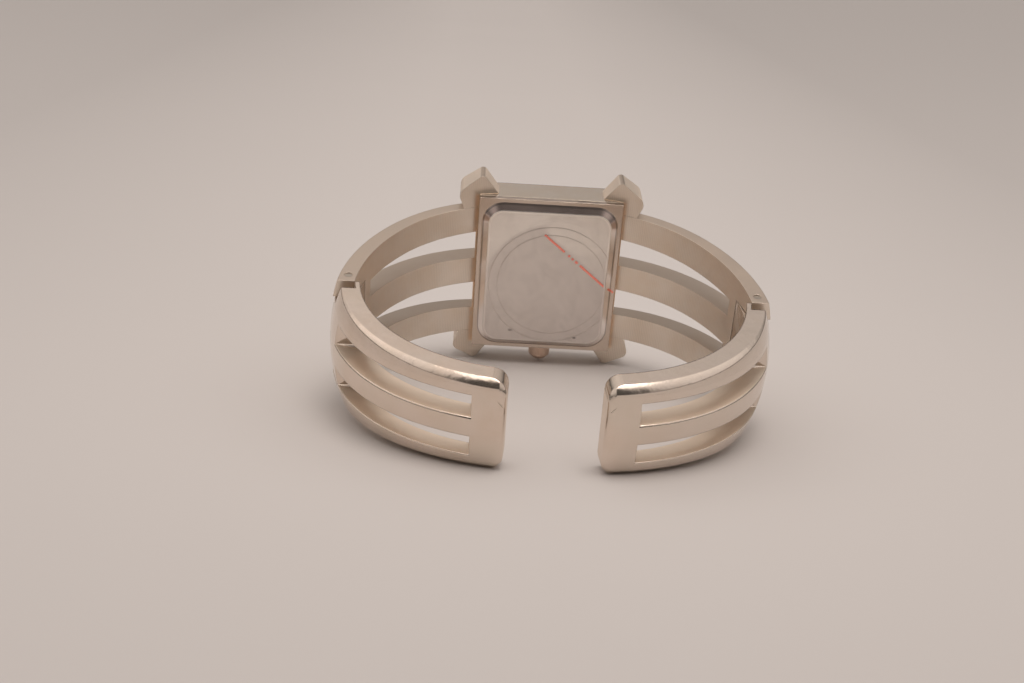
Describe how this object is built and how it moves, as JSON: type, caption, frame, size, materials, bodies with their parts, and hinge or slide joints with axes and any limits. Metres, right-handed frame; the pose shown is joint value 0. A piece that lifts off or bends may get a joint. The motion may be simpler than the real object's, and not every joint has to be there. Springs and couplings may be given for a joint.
{
  "type": "bangle watch",
  "caption": "Rectangular quartz watch head on a rigid openwork metal cuff, each side a three-bar wing hinged to a sprung front arm with a blunt tip, open at the front.",
  "frame": {"origin": "middle of the whole watch with its arms closed: halfway between the arms and the dial side, on the axis of symmetry, at mid width of the band", "axes": "+X towards the right arm's hinge (the wide way across the cuff), +Y out through the dial, +Z along the cuff's own axis, away from the crown"},
  "size_m": [0.062, 0.0518, 0.031],
  "materials": {
    "case_metal": "polished nickel plate, warm",
    "back_steel": "satin stainless steel, polished slope",
    "wing_metal": "nickel plate, fine brushed lines inside",
    "arm_metal": "polished nickel plate",
    "pin_metal": "ground",
    "spring_steel": "drawn wire",
    "seal_rubber": "black, matt",
    "crystal_seal": "white nylon",
    "film": "thin clear film with a red stripe",
    "crystal": "clear, polished",
    "dial_paint": "fine silver-white",
    "marker_metal": "polished",
    "hand_metal": "black, satin",
    "train_brass": "gilt, fine-turned",
    "magnet": "sintered magnet on a steel arbor",
    "holder_plastic": "moulded, white",
    "plate_metal": "plated, straight-grained",
    "soft_iron": "annealed sheet",
    "copper_wire": "enamelled copper wire",
    "board": "green laminate with tracks",
    "can_metal": "drawn",
    "cell": "bright, turned marks",
    "screw_steel": "polished head",
    "stem_steel": "turned",
    "crown_metal": "nickel plate, worn warm"
  },
  "bodies": {
    "head": {"case_body": "case_metal", "case_back": "back_steel", "back_gasket": "seal_rubber", "protective_film": "film", "crystal": "crystal", "crystal_gasket": "crystal_seal", "dial": "dial_paint", "hour_markers": "marker_metal", "movement_holder": "holder_plastic", "main_plate": "plate_metal", "train_bridge": "plate_metal", "stator": "soft_iron", "coil": "copper_wire", "coil_core": "soft_iron", "circuit_board": "board", "quartz_can": "can_metal", "battery": "cell", "battery_clamp": "train_brass", "bridge_screws": "screw_steel", "left_wing": "wing_metal", "right_wing": "wing_metal", "left_hinge_pin": "pin_metal", "right_hinge_pin": "pin_metal", "left_hinge_spring": "spring_steel", "right_hinge_spring": "spring_steel"},
    "right_arm": {"right_arm": "arm_metal"},
    "left_arm": {"left_arm": "arm_metal"},
    "crown_slider": {"crown_gasket": "seal_rubber"},
    "crown": {"crown": "crown_metal", "stem": "stem_steel", "setting_pinion": "stem_steel"},
    "minute": {"minute_hand": "hand_metal", "cannon_pinion": "train_brass", "centre_wheel": "train_brass"},
    "hour": {"hour_hand": "hand_metal", "hour_wheel": "train_brass"},
    "minute_wheel": {"minute_wheel": "train_brass"},
    "intermediate": {"intermediate_wheel": "train_brass"},
    "rotor": {"rotor": "magnet"}
  },
  "joints": [
    {"name": "right_arm_hinge", "type": "hinge", "parent": "head", "child": "right_arm", "pos_m": [0.0286, -0.00112, 0], "axis": [0, 0, 1], "range_deg": [0, 20], "stiffness_Nm_per_rad": 0.15, "springref_deg": -20.05, "deforming": ["right_hinge_spring"]},
    {"name": "left_arm_hinge", "type": "hinge", "parent": "head", "child": "left_arm", "pos_m": [-0.0286, -0.00112, 0], "axis": [0, 0, -1], "range_deg": [0, 20], "stiffness_Nm_per_rad": 0.15, "springref_deg": -20.05, "deforming": ["left_hinge_spring"]},
    {"name": "crown_pull", "type": "slide", "parent": "head", "child": "crown_slider", "axis": [0, 0, -1], "range_m": [0, 0.0008]},
    {"name": "crown_turn", "type": "hinge", "parent": "crown_slider", "child": "crown", "pos_m": [0, 0.02093, -0.0127], "axis": [0, 0, 1], "continuous": true},
    {"name": "intermediate_turn", "type": "hinge", "parent": "head", "child": "intermediate", "pos_m": [0.00188, 0.02133, 0.00224], "axis": [0, -1, 0], "continuous": true},
    {"name": "minute_turn", "type": "hinge", "parent": "head", "child": "minute", "pos_m": [0, 0.02133, 0], "axis": [0, -1, 0], "continuous": true},
    {"name": "hour_turn", "type": "hinge", "parent": "head", "child": "hour", "pos_m": [0, 0.02133, 0], "axis": [0, -1, 0], "continuous": true},
    {"name": "minute_wheel_turn", "type": "hinge", "parent": "head", "child": "minute_wheel", "pos_m": [0, 0.02133, -0.002], "axis": [0, -1, 0], "continuous": true},
    {"name": "rotor_turn", "type": "hinge", "parent": "head", "child": "rotor", "pos_m": [0.00406, 0.02133, 0.00186], "axis": [0, -1, 0], "continuous": true}
  ],
  "couplings": [
    {"joint": "minute_turn", "follows": "intermediate_turn", "ratio": -0.083333},
    {"joint": "hour_turn", "follows": "intermediate_turn", "ratio": -0.0069444},
    {"joint": "minute_wheel_turn", "follows": "intermediate_turn", "ratio": 0.027778},
    {"joint": "rotor_turn", "follows": "intermediate_turn", "ratio": -7.5}
  ]
}
